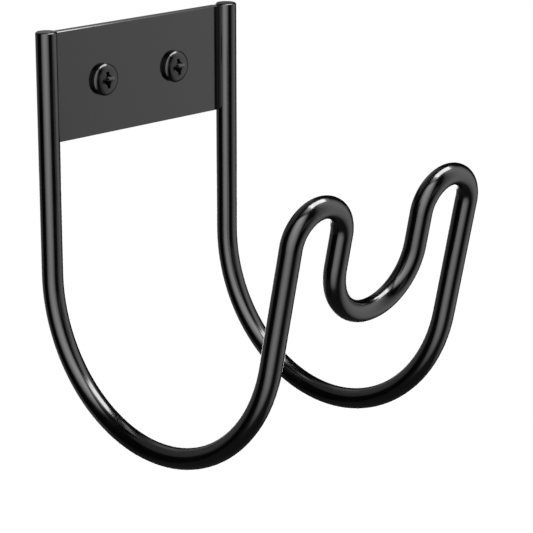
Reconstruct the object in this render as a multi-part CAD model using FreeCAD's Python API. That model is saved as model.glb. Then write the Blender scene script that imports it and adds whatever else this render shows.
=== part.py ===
"""Wall hose hanger: a round steel bar bent in one piece, with a screw plate welded between its uprights.

Millimetres, +Z up. The origin is the centre of the plate's back face, which lies in the wall plane y = 0.
The hanger stands out from the wall along -Y, and the screws go into the wall along +Y.
"""
import FreeCAD
import Part
import math
import os

from FreeCAD import Vector

# Bent bar, measured on its axis
BAR_DIAMETER = 10.0
UPRIGHT_SPACING = 114.0      # between the axes of the two uprights
UPRIGHT_LENGTH = 112.6       # straight run from the cut end down to the cradle bend
CRADLE_RADIUS = 70.5         # the large bend that carries the load
FRONT_LEAN = 11.8            # degrees by which the front loop leans away from the wall
FRONT_LEG_LENGTH = 56.0      # straight run from the cradle bend up to the horn
HORN_RADIUS = 15.5           # the two raised half turns that keep the load on
HORN_LEG_LENGTH = 15.3       # straight run from the horn down to the dip between the horns
BAR_END_ROUND = 0.9          # rounded rim of the two cut ends

# Screw plate between the uprights
PLATE_HEIGHT = 50.9
PLATE_THICKNESS = 4.4
PLATE_DROP = 1.1             # from the bar's cut ends down to the plate's top edge
PLATE_EDGE_ROUND = 0.6       # rounded long edges, top and bottom

# Weld seams in the grooves between the plate's square ends and the round bar
WELD_ROOT_GAP = 0.2          # between the plate's front corner and the bar
WELD_RECESS = 0.3            # depth of the weld's face below the plate's back face
WELD_END_INSET = 0.3         # from the plate's top and bottom edges to the weld's ends

# Pan-head wall screws
SCREW_SPACING = 45.1
SCREW_DIAMETER = 8.0         # over the thread
SCREW_LENGTH = 40.0          # from under the head to the point
SCREW_NECK_DIAMETER = 6.8    # plain neck under the head
SCREW_NECK_REACH = 2.0       # how far the neck goes past the plate's back face
SCREW_POINT_LENGTH = 9.0
SCREW_POINT_DIAMETER = 1.2
SCREW_HOLE_CLEARANCE = 0.8   # hole diameter over screw diameter
HEAD_DIAMETER = 15.0
HEAD_WALL = 0.8              # straight side of the head, above its seat
HEAD_EDGE_ROUND = 2.3
HEAD_FACE_SLOPE = 10.0       # degrees by which the domed face slopes where it meets the rounded edge
RECESS_TURN = 6.0            # degrees by which the driven-in cross leans from upright
RECESS_WIDTH = 8.1           # across the cross, at the height of the head's crown
RECESS_FLOOR_WIDTH = 3.0
RECESS_WING = 1.9
RECESS_CENTRE_DIAMETER = 4.5
RECESS_FLOOR_DIAMETER = 2.2
RECESS_DEPTH = 3.3           # below the head's crown

# Places that follow from the sizes above
BAR_RADIUS = BAR_DIAMETER / 2
BAR_AXIS_Y = -BAR_RADIUS
BAR_TOP_Z = PLATE_HEIGHT / 2 + PLATE_DROP
UPRIGHT_X = UPRIGHT_SPACING / 2
CRADLE_Z = BAR_TOP_Z - UPRIGHT_LENGTH
DIP_RADIUS = UPRIGHT_X - 2 * HORN_RADIUS
PLATE_FRONT_Y = -PLATE_THICKNESS
SCREW_NECK_LENGTH = PLATE_THICKNESS + SCREW_NECK_REACH
FACE_SLOPE = math.radians(HEAD_FACE_SLOPE)
FACE_RADIUS = HEAD_DIAMETER / 2 - HEAD_EDGE_ROUND * (1 - math.sin(FACE_SLOPE))
FACE_EDGE_Z = HEAD_WALL + HEAD_EDGE_ROUND * math.cos(FACE_SLOPE)
CROWN_Z = FACE_EDGE_Z + FACE_RADIUS * math.tan(FACE_SLOPE / 2)
SIDES = (-1, 1)              # left and right, seen from the front


def bar_flank(depth):
    """Distance from an upright's axis plane to its flank, at a depth in front of the wall plane."""
    return math.sqrt(BAR_RADIUS**2 - (BAR_RADIUS - depth)**2)


# Past half the bar's depth, its widest point is what the plate has to clear
PLATE_HALF_WIDTH = UPRIGHT_X - bar_flank(min(PLATE_THICKNESS, BAR_RADIUS)) - WELD_ROOT_GAP


def line(start, end):
    return Part.LineSegment(start, end).toShape()


def arc(start, middle, end):
    return Part.Arc(start, middle, end).toShape()


def half_of_bar_path(side):
    """Axis of one half of the bar, from its cut end to the dip; side is 1 (right) or -1 (left)."""
    x = side * UPRIGHT_X
    lean = math.radians(FRONT_LEAN)
    along_front = Vector(0, -math.sin(lean), math.cos(lean))
    inward = Vector(-side, 0, 0)

    def on_cradle(angle):
        outward = CRADLE_RADIUS * (1 - math.cos(angle))
        down = CRADLE_RADIUS * math.sin(angle)
        return Vector(x, BAR_AXIS_Y - outward, CRADLE_Z - down)

    cradle_turn = math.pi - lean
    cut_end = Vector(x, BAR_AXIS_Y, BAR_TOP_Z)
    front_foot = on_cradle(cradle_turn)
    horn_start = front_foot + along_front * FRONT_LEG_LENGTH
    horn_top = horn_start + inward * HORN_RADIUS + along_front * HORN_RADIUS
    horn_end = horn_start + inward * (2 * HORN_RADIUS)
    dip_start = horn_end - along_front * HORN_LEG_LENGTH
    edges = [
        line(cut_end, on_cradle(0)),
        arc(on_cradle(0), on_cradle(cradle_turn / 2), front_foot),
        line(front_foot, horn_start),
        arc(horn_start, horn_top, horn_end),
        line(horn_end, dip_start),
    ]
    dip_bottom = dip_start + inward * DIP_RADIUS - along_front * DIP_RADIUS
    return edges, dip_start, dip_bottom


def bent_rod():
    """The whole bar, swept in one piece along its bent axis, with rounded rims at the cut ends."""
    right_edges, right_dip, dip_bottom = half_of_bar_path(1)
    left_edges, left_dip, _ = half_of_bar_path(-1)
    dip = arc(right_dip, dip_bottom, left_dip)
    path = Part.Wire(right_edges + [dip] + left_edges[::-1])
    cut_end = Vector(UPRIGHT_X, BAR_AXIS_Y, BAR_TOP_Z)
    section = Part.Wire(Part.makeCircle(BAR_RADIUS, cut_end, Vector(0, 0, -1)))
    bar = path.makePipeShell([section], True, True)
    rims = [edge for edge in bar.Edges if edge.CenterOfMass.z > BAR_TOP_Z - BAR_END_ROUND]
    return bar.makeFillet(BAR_END_ROUND, rims)


def mounting_plate():
    """Flat plate with square ends, rounded long edges and two screw holes."""
    plate = Part.makeBox(
        2 * PLATE_HALF_WIDTH, PLATE_THICKNESS, PLATE_HEIGHT,
        Vector(-PLATE_HALF_WIDTH, PLATE_FRONT_Y, -PLATE_HEIGHT / 2),
    )
    long_edges = [edge for edge in plate.Edges if edge.BoundBox.XLength > PLATE_HALF_WIDTH]
    plate = plate.makeFillet(PLATE_EDGE_ROUND, long_edges)
    hole_radius = (SCREW_DIAMETER + SCREW_HOLE_CLEARANCE) / 2
    for side in SIDES:
        front = Vector(side * SCREW_SPACING / 2, PLATE_FRONT_Y, 0)
        plate = plate.cut(Part.makeCylinder(hole_radius, PLATE_THICKNESS, front, Vector(0, 1, 0)))
    return plate


def plate_weld(side):
    """Weld that fills the groove between one square end of the plate and the bar's round flank."""
    bottom = -PLATE_HEIGHT / 2 + WELD_END_INSET
    root_depth = min(PLATE_THICKNESS, BAR_RADIUS)

    def on_bar(depth):
        return Vector(side * (UPRIGHT_X - bar_flank(depth)), -depth, bottom)

    plate_root = Vector(side * PLATE_HALF_WIDTH, -root_depth, bottom)
    plate_face = Vector(side * PLATE_HALF_WIDTH, -WELD_RECESS, bottom)
    outline = Part.Wire([
        line(plate_root, plate_face),
        line(plate_face, on_bar(WELD_RECESS)),
        arc(on_bar(WELD_RECESS), on_bar((WELD_RECESS + root_depth) / 2), on_bar(root_depth)),
        line(on_bar(root_depth), plate_root),
    ])
    return Part.Face(outline).extrude(Vector(0, 0, PLATE_HEIGHT - 2 * WELD_END_INSET))


def cross_recess():
    """Tapered cross for the driver, sunk from the crown of a head whose axis is Z and whose seat is z = 0."""
    floor_z = CROWN_Z - RECESS_DEPTH
    flank_y = -RECESS_WING / 2
    outline = [
        Vector(-RECESS_WIDTH / 2, flank_y, CROWN_Z),
        Vector(RECESS_WIDTH / 2, flank_y, CROWN_Z),
        Vector(RECESS_FLOOR_WIDTH / 2, flank_y, floor_z),
        Vector(-RECESS_FLOOR_WIDTH / 2, flank_y, floor_z),
    ]
    wing = Part.Face(Part.makePolygon(outline + outline[:1])).extrude(Vector(0, RECESS_WING, 0))
    crossing = wing.copy()
    crossing.rotate(Vector(0, 0, 0), Vector(0, 0, 1), 90)
    centre = Part.makeCone(
        RECESS_FLOOR_DIAMETER / 2, RECESS_CENTRE_DIAMETER / 2, RECESS_DEPTH, Vector(0, 0, floor_z)
    )
    return wing.fuse([crossing, centre])


def mounting_screw(side):
    """Pan-head screw seated on the plate's front face, left or right of the middle."""
    head_radius = HEAD_DIAMETER / 2
    shank_radius = SCREW_DIAMETER / 2
    neck_radius = SCREW_NECK_DIAMETER / 2
    point_radius = SCREW_POINT_DIAMETER / 2
    dome_radius = FACE_RADIUS / math.sin(FACE_SLOPE)

    def on_edge(slope):
        out = head_radius - HEAD_EDGE_ROUND * (1 - math.sin(slope))
        return Vector(out, 0, HEAD_WALL + HEAD_EDGE_ROUND * math.cos(slope))

    def on_face(slope):
        return Vector(dome_radius * math.sin(slope), 0, CROWN_Z - dome_radius * (1 - math.cos(slope)))

    edge_start = on_edge(math.pi / 2)
    face_start = on_edge(FACE_SLOPE)
    edge_middle = on_edge((FACE_SLOPE + math.pi / 2) / 2)
    corners = [
        Vector(0, 0, CROWN_Z),
        Vector(0, 0, -SCREW_LENGTH),
        Vector(point_radius, 0, -SCREW_LENGTH),
        Vector(shank_radius, 0, SCREW_POINT_LENGTH - SCREW_LENGTH),
        Vector(shank_radius, 0, -SCREW_NECK_LENGTH),
        Vector(neck_radius, 0, -SCREW_NECK_LENGTH),
        Vector(neck_radius, 0, 0),
        Vector(head_radius, 0, 0),
        edge_start,
    ]
    outline = [line(start, end) for start, end in zip(corners, corners[1:])]
    outline.append(arc(edge_start, edge_middle, face_start))
    outline.append(arc(face_start, on_face(FACE_SLOPE / 2), corners[0]))
    screw = Part.Face(Part.Wire(outline)).revolve(Vector(0, 0, 0), Vector(0, 0, 1), 360)
    screw = screw.cut(cross_recess())
    screw.rotate(Vector(0, 0, 0), Vector(0, 0, 1), RECESS_TURN)
    screw.rotate(Vector(0, 0, 0), Vector(1, 0, 0), 90)
    screw.translate(Vector(side * SCREW_SPACING / 2, PLATE_FRONT_Y, 0))
    return screw


NODES = {
    "bent_rod": bent_rod(),
    "mounting_plate": mounting_plate(),
    "plate_welds": Part.makeCompound([plate_weld(side) for side in SIDES]),
    "mounting_screws": Part.makeCompound([mounting_screw(side) for side in SIDES]),
}

os.makedirs("parts", exist_ok=True)
for name, shape in NODES.items():
    shape.exportStep(f"parts/{name}.step")
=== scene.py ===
"""Wall hose hanger: a black bar bent in one piece, a screw plate welded between its uprights, two screws.

Metres, +Z up, the wall plane at y = 0 and the hanger standing out along -Y, as in the loaded frame. Each
piece has an operator of its own, which reads its sizes and colours from the scene's hose_hanger settings.
"""
import math

import bmesh
import bpy
from bpy.props import FloatProperty, FloatVectorProperty, IntProperty, PointerProperty
from mathutils import Matrix, Vector


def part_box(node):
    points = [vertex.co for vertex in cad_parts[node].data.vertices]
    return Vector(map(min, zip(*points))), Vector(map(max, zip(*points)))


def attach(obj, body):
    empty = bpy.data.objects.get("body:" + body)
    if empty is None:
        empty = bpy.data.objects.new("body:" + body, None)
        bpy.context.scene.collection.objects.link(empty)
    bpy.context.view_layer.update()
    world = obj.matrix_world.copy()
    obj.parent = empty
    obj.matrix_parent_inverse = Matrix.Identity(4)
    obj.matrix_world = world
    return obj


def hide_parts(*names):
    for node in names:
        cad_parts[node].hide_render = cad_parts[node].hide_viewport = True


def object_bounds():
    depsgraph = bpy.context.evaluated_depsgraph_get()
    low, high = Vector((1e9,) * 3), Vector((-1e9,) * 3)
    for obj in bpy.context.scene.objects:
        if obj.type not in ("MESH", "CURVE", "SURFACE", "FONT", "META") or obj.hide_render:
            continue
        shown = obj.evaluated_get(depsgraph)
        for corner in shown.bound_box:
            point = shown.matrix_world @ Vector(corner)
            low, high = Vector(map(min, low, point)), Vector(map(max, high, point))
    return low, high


bl_info = {
    "name": "Hose hanger",
    "version": (1, 0, 0),
    "blender": (4, 5, 0),
    "location": "View3D > Sidebar > Hose hanger",
    "description": "Builds a wall hose hanger piece by piece, with its studio",
    "category": "Add Mesh",
}

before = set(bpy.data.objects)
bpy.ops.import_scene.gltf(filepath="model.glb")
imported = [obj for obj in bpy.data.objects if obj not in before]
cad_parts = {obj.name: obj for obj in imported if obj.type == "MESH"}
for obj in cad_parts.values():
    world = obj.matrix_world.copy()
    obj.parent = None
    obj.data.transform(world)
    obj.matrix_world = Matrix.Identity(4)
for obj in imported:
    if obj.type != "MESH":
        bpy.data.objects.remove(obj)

MM = 0.001
MICRON = 0.000001
BODY = "root"
SIDES = (-1, 1)              # left and right, seen from the front

# Places that the frame gives
FRAME_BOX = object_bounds()
BAR_LOW, BAR_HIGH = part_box("bent_rod")
PLATE_LOW, PLATE_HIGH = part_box("mounting_plate")
_, WELD_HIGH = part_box("plate_welds")
SCREWS_LOW, SCREWS_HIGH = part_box("mounting_screws")
HEAD_DIAMETER = SCREWS_HIGH.z - SCREWS_LOW.z
SCREW_SPACING = SCREWS_HIGH.x - SCREWS_LOW.x - HEAD_DIAMETER
SCREW_Z = (SCREWS_HIGH.z + SCREWS_LOW.z) / 2


def length(name, description, default):
    """Setting for a length in metres."""
    return FloatProperty(
        name=name, description=description, default=default, min=0.0, precision=5,
        subtype="DISTANCE", unit="LENGTH",
    )


def angle(name, description, degrees):
    """Setting for an angle, shown in degrees."""
    return FloatProperty(
        name=name, description=description, default=math.radians(degrees), subtype="ANGLE", unit="ROTATION"
    )


def share(name, description, default):
    """Setting between nought and one."""
    return FloatProperty(
        name=name, description=description, default=default, min=0.0, max=1.0, subtype="FACTOR"
    )


def refraction(name, description, default):
    """Setting for an index of refraction."""
    return FloatProperty(name=name, description=description, default=default, min=1.0)


def colour(name, description, default):
    """Setting for a colour, in linear values."""
    return FloatVectorProperty(
        name=name, description=description, default=default, size=4, min=0.0, max=1.0, subtype="COLOR"
    )


class HangerBarSettings(bpy.types.PropertyGroup):
    """Sizes of the bent bar, on its axis, and its gloss coat"""

    diameter: length("Diameter", "Across the round bar", 10 * MM)
    cradle_radius: length("Cradle radius", "Large bend that carries the load", 70.5 * MM)
    lean: angle("Front lean", "How far the front loop leans away from the wall", 11.8)
    front_leg: length("Front leg", "Straight run from the cradle up to the horn", 56 * MM)
    horn_radius: length("Horn radius", "The two raised half turns of the front loop", 15.5 * MM)
    horn_leg: length("Horn leg", "Straight run from the horn down to the dip", 15.3 * MM)
    end_round: length("End round", "Rounded rim of the two cut ends", 0.9 * MM)
    around: IntProperty(name="Sides", description="Faces around the bar", default=64, min=12, max=128)
    coat: colour("Coat", "Gloss black coat of the bar and its welds", (0.0004, 0.0004, 0.0004, 1.0))
    gloss: share("Roughness", "Mean roughness of the gloss coat", 0.16)
    index: refraction("Refraction", "Index of refraction of the coat", 1.5)


class HangerPlateSettings(bpy.types.PropertyGroup):
    """Edges, holes and gloss coat of the screw plate"""

    edge_break: length("Edge break", "Broken long edges of the plate", 0.3 * MM)
    hole_diameter: length("Hole diameter", "The two screw holes", 8.8 * MM)
    coat: colour("Coat", "Gloss black coat of the plate", (0.0004, 0.0004, 0.0004, 1.0))
    gloss: share("Roughness", "Mean roughness of the gloss coat", 0.12)
    index: refraction("Refraction", "Index of refraction of the coat", 1.46)


class HangerWeldSettings(bpy.types.PropertyGroup):
    """Ripples of the two weld beads behind the plate"""

    ripple_pitch: length("Ripple pitch", "From one ripple of the bead to the next", 1.7 * MM)
    ripple_height: length("Ripple height", "From trough to crest", 0.16 * MM)
    crown: length("Crown", "Rise of the bead's middle over its edges", 0.18 * MM)


class HangerScrewSettings(bpy.types.PropertyGroup):
    """Head, recess and thread of the two wall screws"""

    edge_round: length("Head edge round", "Radius of the pan head's rounded shoulder", 3.5 * MM)
    edge_slope: angle("Edge slope", "Slope of the shoulder where it meets the straight side", 52.0)
    face_slope: angle("Face slope", "Slope of the domed face where it meets the shoulder", 6.0)
    recess_turn: angle("Recess turn", "How far the driven-in cross leans from upright", 6.0)
    recess_width: length("Recess width", "Across the cross at the head's crown", 8.1 * MM)
    recess_floor_width: length("Recess floor width", "Along the level wing at its floor", 3.0 * MM)
    recess_floor_height: length("Recess floor height", "Along the upright wing at its floor", 4.4 * MM)
    recess_wing: length("Recess wing", "Width of the cross's wings", 1.9 * MM)
    recess_centre: length("Recess centre", "Diameter of the cross's centre at the crown", 5.1 * MM)
    recess_floor: length("Recess floor", "Diameter of the cross's centre at its floor", 2.2 * MM)
    recess_depth: length("Recess depth", "From the head's crown to the cross's floor", 3.3 * MM)
    neck_diameter: length("Neck diameter", "Plain neck under the head", 6.8 * MM)
    neck_reach: length("Neck reach", "How far the neck goes past the plate's back", 2.0 * MM)
    thread_diameter: length("Thread diameter", "Over the thread's crests", 8.0 * MM)
    core_diameter: length("Core diameter", "Between the thread's crests", 5.6 * MM)
    thread_pitch: length("Thread pitch", "From crest to crest", 3.0 * MM)
    point_length: length("Point length", "Tapered end of the thread", 9.0 * MM)
    point_diameter: length("Point diameter", "The blunt tip", 1.2 * MM)
    finish: colour("Finish", "Black finish of the screws", (0.0004, 0.0004, 0.0004, 1.0))
    gloss: share("Roughness", "Mean roughness of the black finish", 0.16)
    index: refraction("Refraction", "Index of refraction of the black finish", 1.39)


class HangerStageSettings(bpy.types.PropertyGroup):
    """Camera and backdrop of the studio"""

    azimuth: angle("Camera azimuth", "Round from straight in front, towards the right", -46.0733)
    elevation: angle("Camera elevation", "Above the horizon", 15.7887)
    distance: length("Camera distance", "From the aim point", 1.05463)
    lens: FloatProperty(
        name="Lens", description="Focal length", default=153.07, subtype="DISTANCE_CAMERA", unit="CAMERA"
    )
    aim: FloatVectorProperty(
        name="Aim", description="Point in the middle of the picture", size=3, subtype="TRANSLATION",
        default=(0.018341, -0.069449, -0.085454),
    )
    floor_drop: length("Floor drop", "From the wall plate down to the floor", 2.5)
    backdrop: colour("Backdrop", "Pale floor and backdrop", (1.0, 1.0, 1.0, 1.0))
    dimness: colour("Dimness", "Light from where there is no softbox", (0.004, 0.004, 0.004, 1.0))


class HangerSettings(bpy.types.PropertyGroup):
    """Everything that can be set on the hose hanger"""

    bar: PointerProperty(type=HangerBarSettings)
    plate: PointerProperty(type=HangerPlateSettings)
    welds: PointerProperty(type=HangerWeldSettings)
    screws: PointerProperty(type=HangerScrewSettings)
    stage: PointerProperty(type=HangerStageSettings)


# Meshes

def grid_mesh(name, rows):
    """Mesh of closed rings of points, row after row, with an end face on the first and the last."""
    mesh = bpy.data.meshes.new(name)
    around = len(rows[0])
    points = [point for row in rows for point in row]
    faces = []
    for row in range(len(rows) - 1):
        for step in range(around):
            following = (step + 1) % around
            low = row * around
            high = low + around
            faces.append((low + step, low + following, high + following, high + step))
    faces.append(tuple(reversed(range(around))))
    faces.append(tuple(range((len(rows) - 1) * around, len(rows) * around)))
    mesh.from_pydata(points, [], faces)
    shell = bmesh.new()
    shell.from_mesh(mesh)
    bmesh.ops.recalc_face_normals(shell, faces=shell.faces)
    shell.to_mesh(mesh)
    shell.free()
    return mesh


def revolved_mesh(name, profile, around):
    """Mesh turned about Z from (radius, height) points; a radius may be a function of the angle."""
    rows = []
    for radius, height in profile:
        row = []
        for step in range(around):
            turn = 2 * math.pi * step / around
            reach = radius(turn) if callable(radius) else radius
            row.append((reach * math.cos(turn), reach * math.sin(turn), height))
        rows.append(row)
    return grid_mesh(name, rows)


def prism_mesh(name, outline, offset):
    """Mesh of a flat outline drawn out by an offset."""
    return grid_mesh(name, [outline, [point + offset for point in outline]])


def bare_object(name, mesh):
    """Object of that mesh, in place of any earlier one of the name."""
    earlier = bpy.data.objects.get(name)
    if earlier is not None:
        bpy.data.objects.remove(earlier)
    made = bpy.data.objects.new(name, mesh)
    bpy.context.scene.collection.objects.link(made)
    return made


def settle(made):
    """Puts the result of an object's modifiers into its mesh."""
    depsgraph = bpy.context.evaluated_depsgraph_get()
    made.data = bpy.data.meshes.new_from_object(made.evaluated_get(depsgraph))
    made.modifiers.clear()


def cut(made, cutters):
    """Takes the cutters' meshes away from an object."""
    for mesh in cutters:
        tool = bare_object("cutter", mesh)
        modifier = made.modifiers.new("cut", "BOOLEAN")
        modifier.operation = "DIFFERENCE"
        modifier.solver = "EXACT"
        modifier.object = tool
        settle(made)
        bpy.data.objects.remove(tool)


def shade(made, sharp_degrees):
    """Smooth shading, with edges sharper than an angle kept crisp and flats kept flat."""
    made.data.shade_smooth()
    made.data.set_sharp_from_angle(angle=math.radians(sharp_degrees))
    modifier = made.modifiers.new("flats", "WEIGHTED_NORMAL")
    modifier.keep_sharp = True
    settle(made)


def seat(made, node, material):
    """Lets a finished piece stand for its node, in the finish of its slot."""
    if not made.data.polygons:
        raise RuntimeError(f"{made.name} has no faces")
    made.data.name = made.name
    made.data.materials.clear()
    made.data.materials.append(material)
    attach(made, BODY)
    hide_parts(node)


# Finishes

NOISE_LOW = 0.3              # a noise's values lie mostly between these two
NOISE_HIGH = 0.7
COLOUR_SPREAD = 0.3          # share by which a coat's colour varies
GLOSS_SPREAD = 0.1           # share by which its roughness varies
PEEL_PER_GRAIN = 6           # size of the long ripple against that of the grain


def noise(tree, size, detail=2.0):
    """Noise in object coordinates, with features of about that size."""
    place = tree.nodes.new("ShaderNodeTexCoord")
    made = tree.nodes.new("ShaderNodeTexNoise")
    made.inputs["Scale"].default_value = 1 / size
    made.inputs["Detail"].default_value = detail
    tree.links.new(place.outputs["Object"], made.inputs["Vector"])
    return made.outputs["Fac"]


def spread(tree, value, low, high):
    """Value of a noise mapped to a range."""
    made = tree.nodes.new("ShaderNodeMapRange")
    made.inputs["From Min"].default_value = NOISE_LOW
    made.inputs["From Max"].default_value = NOISE_HIGH
    made.inputs["To Min"].default_value = low
    made.inputs["To Max"].default_value = high
    tree.links.new(value, made.inputs["Value"])
    return made.outputs["Result"]


def tint(tree, value, dark, light):
    """Colour between two, by the value of a noise."""
    made = tree.nodes.new("ShaderNodeValToRGB")
    made.color_ramp.elements[0].position = NOISE_LOW
    made.color_ramp.elements[1].position = NOISE_HIGH
    made.color_ramp.elements[0].color = dark
    made.color_ramp.elements[1].color = light
    tree.links.new(value, made.inputs["Fac"])
    return made.outputs["Color"]


def relief(tree, value, depth, under=None):
    """Bump of that depth, on top of another one."""
    made = tree.nodes.new("ShaderNodeBump")
    made.inputs["Strength"].default_value = 1.0
    made.inputs["Distance"].default_value = depth
    tree.links.new(value, made.inputs["Height"])
    if under is not None:
        tree.links.new(under, made.inputs["Normal"])
    return made.outputs["Normal"]


def shaded(settings_colour, factor):
    """Colour made lighter or darker by a factor."""
    return [channel * factor for channel in settings_colour[:3]] + [1.0]


def coat_material(name, coat, roughness, index, patch, grain_size, grain_depth, peel_depth):
    """Black coat with slightly uneven colour and gloss, fine grain and a long shallow ripple."""
    made = bpy.data.materials.get(name)
    if made is not None:
        return made
    made = bpy.data.materials.new(name)
    made.use_nodes = True
    tree = made.node_tree
    shader = tree.nodes["Principled BSDF"]
    shader.inputs["IOR"].default_value = index
    cloud = noise(tree, patch, detail=4.0)
    uneven = tint(tree, cloud, shaded(coat, 1 - COLOUR_SPREAD), shaded(coat, 1 + COLOUR_SPREAD))
    tree.links.new(uneven, shader.inputs["Base Color"])
    gloss = spread(tree, cloud, roughness * (1 - GLOSS_SPREAD), roughness * (1 + GLOSS_SPREAD))
    tree.links.new(gloss, shader.inputs["Roughness"])
    ripple = relief(tree, noise(tree, grain_size * PEEL_PER_GRAIN), peel_depth)
    grain = relief(tree, noise(tree, grain_size, detail=3.0), grain_depth, under=ripple)
    tree.links.new(grain, shader.inputs["Normal"])
    return made


def bar_finish(settings):
    """Gloss enamel with a faint orange peel."""
    bar = settings.bar
    return coat_material(
        "gloss_black_coat", bar.coat, bar.gloss, bar.index,
        patch=9 * MM, grain_size=0.5 * MM, grain_depth=0.4 * MICRON, peel_depth=4 * MICRON,
    )


def plate_finish(settings):
    """The same enamel on the flat of the plate, where it lies smoother."""
    plate = settings.plate
    return coat_material(
        "plate_black_coat", plate.coat, plate.gloss, plate.index,
        patch=11 * MM, grain_size=0.5 * MM, grain_depth=0.2 * MICRON, peel_depth=2 * MICRON,
    )


def screw_finish(settings):
    """Black finish of the screws, a little duller than the enamel."""
    screws = settings.screws
    return coat_material(
        "black_screw_finish", screws.finish, screws.gloss, screws.index,
        patch=3 * MM, grain_size=0.2 * MM, grain_depth=0.3 * MICRON, peel_depth=1 * MICRON,
    )


# Bent bar

def round_rim(radius, rim, steps=7):
    """(depth, radius) of the rings that close a round bar's end, from the flat to its full width."""
    flat = radius - rim
    flat_shares = (0.4, 0.97)    # rings on the flat itself, so that its shading stays flat
    rings = [(0.0, flat * flat_share) for flat_share in flat_shares]
    for step in range(steps):
        turn = math.pi / 2 * step / (steps - 1)
        rings.append((rim * (1 - math.cos(turn)), flat + rim * math.sin(turn)))
    return rings


def bar_bends(bar):
    """Where the bar starts, and its straight runs and bends from the right cut end to the left one."""
    radius = bar.diameter / 2
    upright_x = BAR_HIGH.x - radius
    cradle_z = BAR_LOW.z + radius + bar.cradle_radius
    upright = BAR_HIGH.z - cradle_z
    along_front = Vector((0, -math.sin(bar.lean), math.cos(bar.lean)))
    to_left = Vector((-1, 0, 0))
    horn_axis = along_front.cross(to_left)
    dip_radius = upright_x - 2 * bar.horn_radius
    start = Vector((upright_x, BAR_HIGH.y - radius, BAR_HIGH.z))
    cradle_turn = math.pi - bar.lean
    half_turn = math.pi
    runs = [
        (upright, bar.cradle_radius, cradle_turn, to_left),
        (bar.front_leg, bar.horn_radius, half_turn, horn_axis),
        (bar.horn_leg, dip_radius, half_turn, -horn_axis),
        (bar.horn_leg, bar.horn_radius, half_turn, horn_axis),
        (bar.front_leg, bar.cradle_radius, cradle_turn, -to_left),
        (upright, 0.0, 0.0, to_left),
    ]
    return start, runs


def bar_rings(bar):
    """Rings of points along the bar, carried round its bends without twist."""
    radius = bar.diameter / 2
    straight_step = 7 * MM
    bend_step = math.radians(3)
    fewest_bend_steps = 8
    place, runs = bar_bends(bar)
    heading = Vector((0, 0, -1))
    across = Vector((1, 0, 0))

    def ring(centre, ring_radius):
        beside = heading.cross(across)
        points = []
        for step in range(bar.around):
            turn = 2 * math.pi * step / bar.around
            points.append(centre + ring_radius * (across * math.cos(turn) + beside * math.sin(turn)))
        return points

    rim = round_rim(radius, bar.end_round)
    rings = [ring(place + heading * depth, ring_radius) for depth, ring_radius in rim]
    travelled = bar.end_round
    for run, bend_radius, bend, axis in runs:
        last = bend_radius == 0.0
        reach = run - travelled - (bar.end_round if last else 0.0)
        steps = max(1, round(reach / straight_step))
        first = place + heading * travelled
        for step in range(1, steps + 1):
            rings.append(ring(first + heading * (reach * step / steps), radius))
        travelled = 0.0
        place = place + heading * run
        if last:
            break
        centre = place + axis.cross(heading) * bend_radius
        steps = max(fewest_bend_steps, round(bend / bend_step))
        turn = Matrix.Rotation(bend / steps, 3, axis)
        for _ in range(steps):
            place = centre + turn @ (place - centre)
            heading = turn @ heading
            across = turn @ across
            rings.append(ring(place, radius))
    rings += [ring(place - heading * depth, ring_radius) for depth, ring_radius in reversed(rim[:-1])]
    return rings


class HANGER_OT_bent_bar(bpy.types.Operator):
    """Sweep the round bar along its bends, with rounded rims at its cut ends"""

    bl_idname = "hanger.bent_bar"
    bl_label = "Bent bar"

    def execute(self, context):
        settings = context.scene.hose_hanger
        made = bare_object("coated_bar", grid_mesh("coated_bar", bar_rings(settings.bar)))
        shade(made, sharp_degrees=40)
        seat(made, "bent_rod", bar_finish(settings))
        return {"FINISHED"}


# Screw plate

def broken_section(low, high, edge):
    """Outline in the YZ plane of a flat bar whose four long edges are broken."""
    return [
        Vector((low.x, high.y, high.z - edge)),
        Vector((low.x, high.y - edge, high.z)),
        Vector((low.x, low.y + edge, high.z)),
        Vector((low.x, low.y, high.z - edge)),
        Vector((low.x, low.y, low.z + edge)),
        Vector((low.x, low.y + edge, low.z)),
        Vector((low.x, high.y - edge, low.z)),
        Vector((low.x, high.y, low.z + edge)),
    ]


class HANGER_OT_screw_plate(bpy.types.Operator):
    """Draw out the plate between the uprights and drill its two screw holes"""

    bl_idname = "hanger.screw_plate"
    bl_label = "Screw plate"

    def execute(self, context):
        settings = context.scene.hose_hanger
        plate = settings.plate
        outline = broken_section(PLATE_LOW, PLATE_HIGH, plate.edge_break)
        width = Vector((PLATE_HIGH.x - PLATE_LOW.x, 0, 0))
        made = bare_object("coated_plate", prism_mesh("coated_plate", outline, width))
        overrun = 2 * MM             # the drills stand out that far on both sides of the plate
        reach = PLATE_HIGH.y - PLATE_LOW.y + 2 * overrun
        hole_radius = plate.hole_diameter / 2
        drills = []
        for side in SIDES:
            drill = revolved_mesh("drill", [(hole_radius, 0.0), (hole_radius, reach)], around=64)
            start = Vector((side * SCREW_SPACING / 2, PLATE_HIGH.y + overrun, SCREW_Z))
            drill.transform(Matrix.Translation(start) @ Matrix.Rotation(math.pi / 2, 4, "X"))
            drills.append(drill)
        cut(made, drills)
        shade(made, sharp_degrees=40)
        seat(made, "mounting_plate", plate_finish(settings))
        return {"FINISHED"}


# Welds

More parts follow.
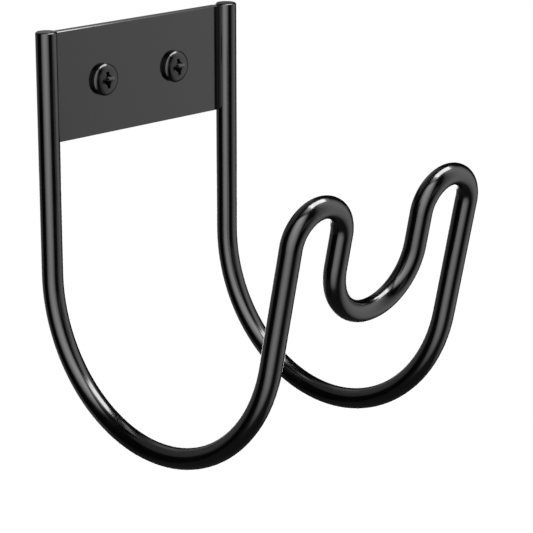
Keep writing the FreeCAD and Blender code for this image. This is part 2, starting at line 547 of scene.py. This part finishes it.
def weld_rows(side, settings):
    """Rings of points up one weld bead, between the plate's square end and the bar's flank."""
    welds = settings.welds
    radius = settings.bar.diameter / 2
    axis_x = BAR_HIGH.x - radius
    bite = 0.05 * MM             # the bead runs that far into the plate and the bar
    face_y = WELD_HIGH.y
    root_y = PLATE_LOW.y
    plate_x = PLATE_HIGH.x - bite
    row_step = 0.17 * MM
    columns = 10
    taper = 0.6 * MM             # the bead sinks over that length at each end
    end_sink = 0.03              # share of its depth by which it sinks there
    inset = 0.05 * MM            # the bead stops that short of the plate's upper and lower edge
    lag = 0.55                   # a ripple's edges trail its middle by that share of the pitch
    wander = 0.13                # unevenness of the ripples' spacing, as a share of the pitch
    wander_rate = 900            # radians of that unevenness per metre
    ripple_lean = 1.6            # power that makes a ripple steeper on one side
    low_z = PLATE_LOW.z + inset
    high_z = PLATE_HIGH.z - inset
    count = round((high_z - low_z) / row_step)

    def flank_x(y):
        return axis_x - math.sqrt(radius**2 - (BAR_HIGH.y - radius - y)**2) + bite

    rows = []
    for row in range(count + 1):
        z = low_z + (high_z - low_z) * row / count
        from_end = min(z - low_z, high_z - z) / taper
        fill = math.sqrt(max(0.0, 1 - (1 - min(from_end, 1.0))**2))
        top_y = root_y + (face_y - welds.crown - root_y) * (1 - end_sink * (1 - fill))
        ring = []
        for column in range(columns + 1):
            across = column / columns
            bow = 1 - (2 * across - 1)**2
            phase = z / welds.ripple_pitch + lag * bow + wander * math.sin(z * wander_rate * side)
            ripple = (phase % 1.0)**ripple_lean - 0.5
            y = top_y + fill * bow * (welds.crown + welds.ripple_height * ripple)
            x = plate_x + (flank_x(top_y) - plate_x) * across
            ring.append(Vector((side * x, y, z)))
        for depth in (0.5, 1.0):
            y = top_y + (root_y - top_y) * depth
            ring.append(Vector((side * flank_x(y), y, z)))
        for depth in (1.0, 0.5):
            ring.append(Vector((side * plate_x, top_y + (root_y - top_y) * depth, z)))
        rows.append(ring)
    return rows


class HANGER_OT_plate_welds(bpy.types.Operator):
    """Run a rippled bead up the groove at each end of the plate, on the wall side"""

    bl_idname = "hanger.plate_welds"
    bl_label = "Plate welds"

    def execute(self, context):
        settings = context.scene.hose_hanger
        both = bmesh.new()
        for side in SIDES:
            both.from_mesh(grid_mesh("weld", weld_rows(side, settings)))
        mesh = bpy.data.meshes.new("weld_beads")
        both.to_mesh(mesh)
        both.free()
        made = bare_object("weld_beads", mesh)
        shade(made, sharp_degrees=50)
        seat(made, "plate_welds", bar_finish(settings))
        return {"FINISHED"}


# Wall screws

def head_profile(screws):
    """(radius, height) of a pan head from the middle of its domed face to its seat at nought."""
    head_radius = HEAD_DIAMETER / 2
    crown = PLATE_LOW.y - SCREWS_LOW.y
    rim = screws.edge_round
    inner = screws.face_slope
    outer = screws.edge_slope
    face_radius = head_radius - rim * (math.sin(outer) - math.sin(inner))
    dome_radius = face_radius / math.sin(inner)
    dome_centre = crown - dome_radius
    rim_centre = dome_centre + (dome_radius - rim) * math.cos(inner)
    face_steps = 12
    rim_steps = 12
    first_step = 0.3             # keeps the innermost ring from being a point
    seat_break = 0.2 * MM        # broken edge round the seat
    profile = []
    for step in range(face_steps):
        turn = inner * max(step, first_step) / face_steps
        profile.append((dome_radius * math.sin(turn), dome_centre + dome_radius * math.cos(turn)))
    for step in range(rim_steps + 1):
        turn = inner + (outer - inner) * step / rim_steps
        reach = head_radius - rim * (math.sin(outer) - math.sin(turn))
        profile.append((reach, rim_centre + rim * math.cos(turn)))
    profile += [(head_radius, seat_break), (head_radius - seat_break, 0.0)]
    return profile


def screw_profile(screws):
    """(radius, height) of a whole screw from the middle of its face to its point, seat at nought."""
    shank = SCREWS_HIGH.y - PLATE_LOW.y
    core = screws.core_diameter / 2
    crest = screws.thread_diameter / 2
    neck = screws.neck_diameter / 2
    tip = screws.point_diameter / 2
    rings_per_turn = 16
    core_taper = 0.8             # powers by which core and crests narrow along the point
    crest_taper = 0.6
    ridge_half = 0.3             # half a ridge's foot, as a share of the pitch
    ridge_growth = 1.5           # how soon the ridge is full, along its first turn
    profile = head_profile(screws) + [(neck, 0.0)]
    neck_length = PLATE_HIGH.y - PLATE_LOW.y + screws.neck_reach
    thread_length = shank - neck_length
    count = round(thread_length / screws.thread_pitch * rings_per_turn)

    def threaded(depth):
        taper = min(1.0, max(0.0, (shank - depth) / screws.point_length))
        lead_in = min(1.0, (depth - neck_length) / screws.thread_pitch)
        root = tip + (core - tip) * taper**core_taper
        outer = tip + (crest - tip) * taper**crest_taper

        def radius(turn):
            phase = (depth / screws.thread_pitch - turn / (2 * math.pi)) % 1.0
            ridge = max(0.0, 1 - abs(phase - 0.5) / ridge_half)
            body = root + (neck - root) * (1 - lead_in)**2
            return body + max(0.0, outer - body) * ridge * min(1.0, lead_in * ridge_growth)

        return radius

    for row in range(count + 1):
        depth = neck_length + thread_length * row / count
        profile.append((threaded(depth), -depth))
    return profile


def cross_cutters(screws):
    """Two tapered wings and a tapered centre, sunk from the crown of a head whose seat is at nought."""
    crown = PLATE_LOW.y - SCREWS_LOW.y
    floor_z = crown - screws.recess_depth
    overshoot = 0.5 * MM
    rise = (screws.recess_depth + overshoot) / screws.recess_depth
    top_z = crown + overshoot

    def widened(at_floor, at_face):
        return at_floor + (at_face - at_floor) * rise

    def wing(floor_width):
        half_top = widened(floor_width, screws.recess_width) / 2
        half_floor = floor_width / 2
        flank = -screws.recess_wing / 2
        outline = [
            Vector((-half_top, flank, top_z)),
            Vector((half_top, flank, top_z)),
            Vector((half_floor, flank, floor_z)),
            Vector((-half_floor, flank, floor_z)),
        ]
        return prism_mesh("wing", outline, Vector((0, screws.recess_wing, 0)))

    level = wing(screws.recess_floor_width)
    upright = wing(screws.recess_floor_height)
    upright.transform(Matrix.Rotation(math.pi / 2, 4, "Z"))
    top = widened(screws.recess_floor, screws.recess_centre) / 2
    centre = revolved_mesh("centre", [(screws.recess_floor / 2, floor_z), (top, top_z)], around=32)
    return [level, upright, centre]


class HANGER_OT_wall_screws(bpy.types.Operator):
    """Turn the two pan-head screws with their thread, and sink their cross recess"""

    bl_idname = "hanger.wall_screws"
    bl_label = "Wall screws"

    def execute(self, context):
        settings = context.scene.hose_hanger
        screws = settings.screws
        pattern = bare_object("screw", revolved_mesh("screw", screw_profile(screws), around=64))
        cut(pattern, cross_cutters(screws))
        upright = Matrix.Rotation(math.pi / 2, 4, "X") @ Matrix.Rotation(screws.recess_turn, 4, "Z")
        both = bmesh.new()
        for side in SIDES:
            placed = pattern.data.copy()
            seat_point = Vector((side * SCREW_SPACING / 2, PLATE_LOW.y, SCREW_Z))
            placed.transform(Matrix.Translation(seat_point) @ upright)
            both.from_mesh(placed)
        mesh = bpy.data.meshes.new("wall_screws")
        both.to_mesh(mesh)
        both.free()
        bpy.data.objects.remove(pattern)
        made = bare_object("wall_screws", mesh)
        shade(made, sharp_degrees=32)
        seat(made, "mounting_screws", screw_finish(settings))
        return {"FINISHED"}


# Studio

FLOOR_RADIUS = 14.0
CAMERA_CLIP = (0.05, 60.0)   # nearest and furthest distance that the camera shows


def direction(azimuth, elevation):
    """Unit vector away from the hanger; azimuth 0 is straight out from the wall, growing to the right."""
    flat = math.cos(elevation)
    return Vector((math.sin(azimuth) * flat, -math.cos(azimuth) * flat, math.sin(elevation)))


class Softbox:
    """Panel of light round the hanger: where it stands, how far it reaches, and how bright it is."""

    def __init__(self, name, place, size, radiance, side_fade=None, rise=None, shift=(0.0, 0.0, 0.0)):
        azimuth, elevation, distance = place
        self.name = name
        self.outward = direction(math.radians(azimuth), math.radians(elevation))
        self.place = self.outward * distance + Vector(shift)
        self.width, self.height = size
        self.radiance = radiance
        self.side_fade = side_fade   # power by which it falls off to its sides
        self.rise = rise             # power by which it grows from its lower edge to its upper one


# Place is azimuth and elevation in degrees and distance in metres from the hanger's middle, and size is
# width and height in metres. A shift, in metres, moves a panel without turning it.
SOFTBOXES = (
    Softbox("key", (-59, 1, 2.2), (3.96, 6.78), 7.4, side_fade=1.5, rise=0.65),
    Softbox("fill", (50, 0, 2.2), (3.44, 7.62), 2.8, side_fade=1.5, rise=0.75),
    Softbox("front", (0, 5, 2.2), (1.0, 0.6), 0.5, side_fade=2.0),
    Softbox("overhead", (90, 89.9, 0.55), (0.297, 0.425), 17.0, shift=(0.1625, -0.1285, 0.0)),
    Softbox(
        "overhead_tail", (90, 89.9, 0.55), (0.297, 0.225), 2.0,
        rise=1.0, shift=(0.4875, -0.1285, 0.0),
    ),
    Softbox(
        "overhead_spill", (-90, 89.9, 0.56), (0.40, 0.32), 8.5,
        side_fade=2.0, rise=1.2, shift=(-0.14, -0.176, 0.0),
    ),
    Softbox("back", (168, -19, 2.2), (4.56, 1.53), 0.33),
    Softbox("back_upper", (183, 31, 2.2), (2.8, 2.64), 0.33),
    Softbox(
        "back_near", (180, 0, 0.36), (0.5, 0.2), 0.31,
        side_fade=2.0, shift=(0.19, 0.0, 0.216),
    ),
    Softbox("rear_rim", (134, -28, 2.2), (1.26, 1.18), 2.5),
    Softbox("floor_bounce", (0, -88, 2.2), (6.28, 6.28), 0.07),
)


def arithmetic(tree, operation, first, second=0.0):
    """Output of a Math node between two sockets or numbers."""
    node = tree.nodes.new("ShaderNodeMath")
    node.operation = operation
    for socket, source in zip(node.inputs, (first, second)):
        if isinstance(source, bpy.types.NodeSocket):
            tree.links.new(source, socket)
        else:
            socket.default_value = source
    return node.outputs["Value"]


def fade_panel(light, side_fade, rise):
    """Lets a panel of light fall off to both sides, or downwards, or both."""
    light.use_nodes = True
    tree = light.node_tree
    geometry = tree.nodes.new("ShaderNodeNewGeometry")
    place = tree.nodes.new("ShaderNodeSeparateXYZ")
    tree.links.new(geometry.outputs["Parametric"], place.inputs["Vector"])
    strength = 1.0
    if side_fade is not None:
        doubled = arithmetic(tree, "MULTIPLY", place.outputs["X"], 2.0)
        aside = arithmetic(tree, "ABSOLUTE", arithmetic(tree, "SUBTRACT", doubled, 1.0))
        middle = arithmetic(tree, "SUBTRACT", 1.0, arithmetic(tree, "POWER", aside, side_fade))
        strength = arithmetic(tree, "MULTIPLY", strength, middle)
    if rise is not None:
        upward = arithmetic(tree, "POWER", place.outputs["Y"], rise)
        strength = arithmetic(tree, "MULTIPLY", strength, upward)
    tree.links.new(strength, tree.nodes["Emission"].inputs["Strength"])


def add_softbox(softbox, centre):
    """Area light for a softbox, turned to the hanger and hidden from the camera."""
    light = bpy.data.lights.new(softbox.name, "AREA")
    light.shape = "RECTANGLE"
    light.size = softbox.width
    light.size_y = softbox.height
    light.energy = softbox.radiance * math.pi * softbox.width * softbox.height
    if softbox.side_fade is not None or softbox.rise is not None:
        fade_panel(light, softbox.side_fade, softbox.rise)
    made = bpy.data.objects.new(softbox.name, light)
    made.rotation_mode = "QUATERNION"
    made.rotation_quaternion = softbox.outward.to_track_quat("Z", "Y")
    made.location = centre + softbox.place
    made.visible_camera = False
    bpy.context.scene.collection.objects.link(made)


def lay_floor(stage):
    """Pale floor that only the camera sees, so that it leaves the light on the hanger alone."""
    floor = bare_object("floor", bpy.data.meshes.new("floor"))
    disc = bmesh.new()
    bmesh.ops.create_circle(disc, cap_ends=True, radius=FLOOR_RADIUS, segments=96)
    disc.to_mesh(floor.data)
    disc.free()
    floor.location.z = -stage.floor_drop
    pale = bpy.data.materials.new("pale_floor")
    pale.use_nodes = True
    tree = pale.node_tree
    tree.nodes.remove(tree.nodes["Principled BSDF"])
    glow = tree.nodes.new("ShaderNodeEmission")
    glow.inputs["Color"].default_value = stage.backdrop
    tree.links.new(glow.outputs["Emission"], tree.nodes["Material Output"].inputs["Surface"])
    floor.data.materials.append(pale)
    floor.visible_glossy = False
    floor.visible_diffuse = False
    floor.visible_shadow = False


def hang_backdrop(scene, stage):
    """World that is pale behind the hanger and dark in its reflections."""
    world = bpy.data.worlds.new("studio")
    scene.world = world
    world.use_nodes = True
    tree = world.node_tree
    path = tree.nodes.new("ShaderNodeLightPath")
    mix = tree.nodes.new("ShaderNodeMix")
    mix.data_type = "RGBA"
    tree.links.new(path.outputs["Is Camera Ray"], mix.inputs["Factor"])
    mix.inputs["A"].default_value = stage.dimness
    mix.inputs["B"].default_value = stage.backdrop
    tree.links.new(mix.outputs["Result"], tree.nodes["Background"].inputs["Color"])


def set_camera(scene, stage):
    """Camera that looks at the aim point from the stage's angle and distance."""
    camera = bpy.data.objects.new("camera", bpy.data.cameras.new("camera"))
    camera.data.lens = stage.lens
    camera.data.clip_start, camera.data.clip_end = CAMERA_CLIP
    back = direction(stage.azimuth, stage.elevation)
    camera.location = Vector(stage.aim) + back * stage.distance
    camera.rotation_mode = "QUATERNION"
    camera.rotation_quaternion = back.to_track_quat("Z", "Y")
    scene.collection.objects.link(camera)
    scene.camera = camera


class HANGER_OT_studio(bpy.types.Operator):
    """Set up the pale floor and backdrop, the softboxes and the camera"""

    bl_idname = "hanger.studio"
    bl_label = "Studio"

    def execute(self, context):
        scene = context.scene
        stage = scene.hose_hanger.stage
        scene.view_settings.view_transform = "Standard"
        low, high = FRAME_BOX
        centre = (low + high) / 2
        for softbox in SOFTBOXES:
            add_softbox(softbox, centre)
        lay_floor(stage)
        hang_backdrop(scene, stage)
        set_camera(scene, stage)
        return {"FINISHED"}


OPERATORS = (
    HANGER_OT_bent_bar,
    HANGER_OT_screw_plate,
    HANGER_OT_plate_welds,
    HANGER_OT_wall_screws,
    HANGER_OT_studio,
)


class HANGER_PT_sidebar(bpy.types.Panel):
    """Lists the hanger's pieces and their settings"""

    bl_label = "Hose hanger"
    bl_space_type = "VIEW_3D"
    bl_region_type = "UI"
    bl_category = "Hose hanger"

    def draw(self, context):
        settings = context.scene.hose_hanger
        groups = (settings.bar, settings.plate, settings.welds, settings.screws, settings.stage)
        for operator, group in zip(OPERATORS, groups):
            box = self.layout.box()
            box.operator(operator.bl_idname)
            for name in group.bl_rna.properties.keys():
                if name not in ("rna_type", "name"):
                    box.prop(group, name)


CLASSES = (
    HangerBarSettings,
    HangerPlateSettings,
    HangerWeldSettings,
    HangerScrewSettings,
    HangerStageSettings,
    HangerSettings,
    *OPERATORS,
    HANGER_PT_sidebar,
)


def register():
    for cls in CLASSES:
        bpy.utils.register_class(cls)
    bpy.types.Scene.hose_hanger = PointerProperty(type=HangerSettings)


def unregister():
    del bpy.types.Scene.hose_hanger
    for cls in reversed(CLASSES):
        bpy.utils.unregister_class(cls)


def main():
    register()
    bpy.ops.hanger.bent_bar()
    bpy.ops.hanger.screw_plate()
    bpy.ops.hanger.plate_welds()
    bpy.ops.hanger.wall_screws()
    bpy.ops.hanger.studio()
    bpy.context.view_layer.update()


if __name__ == "__main__":
    main()
